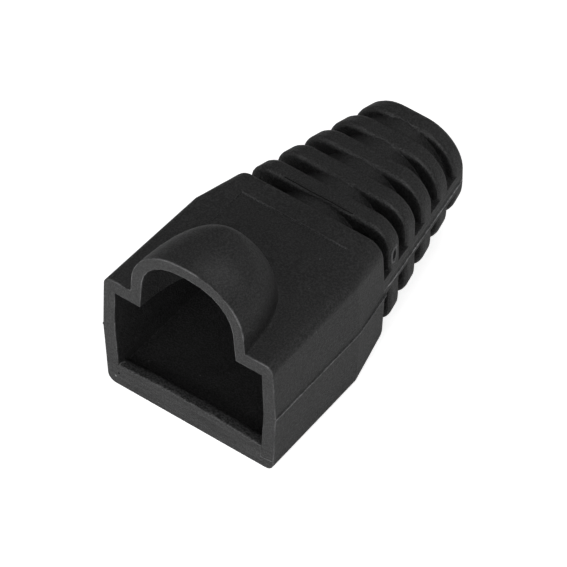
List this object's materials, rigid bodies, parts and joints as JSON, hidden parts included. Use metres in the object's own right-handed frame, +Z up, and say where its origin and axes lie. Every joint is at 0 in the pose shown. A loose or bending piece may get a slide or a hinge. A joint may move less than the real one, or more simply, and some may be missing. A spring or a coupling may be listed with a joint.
{
  "type": "rj45 strain relief boot",
  "caption": "Flexible slip-over boot for a modular plug: a square housing with an arched latch hump, and a ribbed, tapered neck that the cable leaves through.",
  "frame": {"origin": "middle of the bounding box's base, on the housing's flat underside", "axes": "+Y along the cable's way out, +X across, +Z up through the latch hump"},
  "size_m": [0.014, 0.0244, 0.0145],
  "materials": {
    "moulding": "black flexible PVC, fine matte moulded grain"
  },
  "bodies": {
    "root": {"boot": "moulding"}
  },
  "joints": []
}
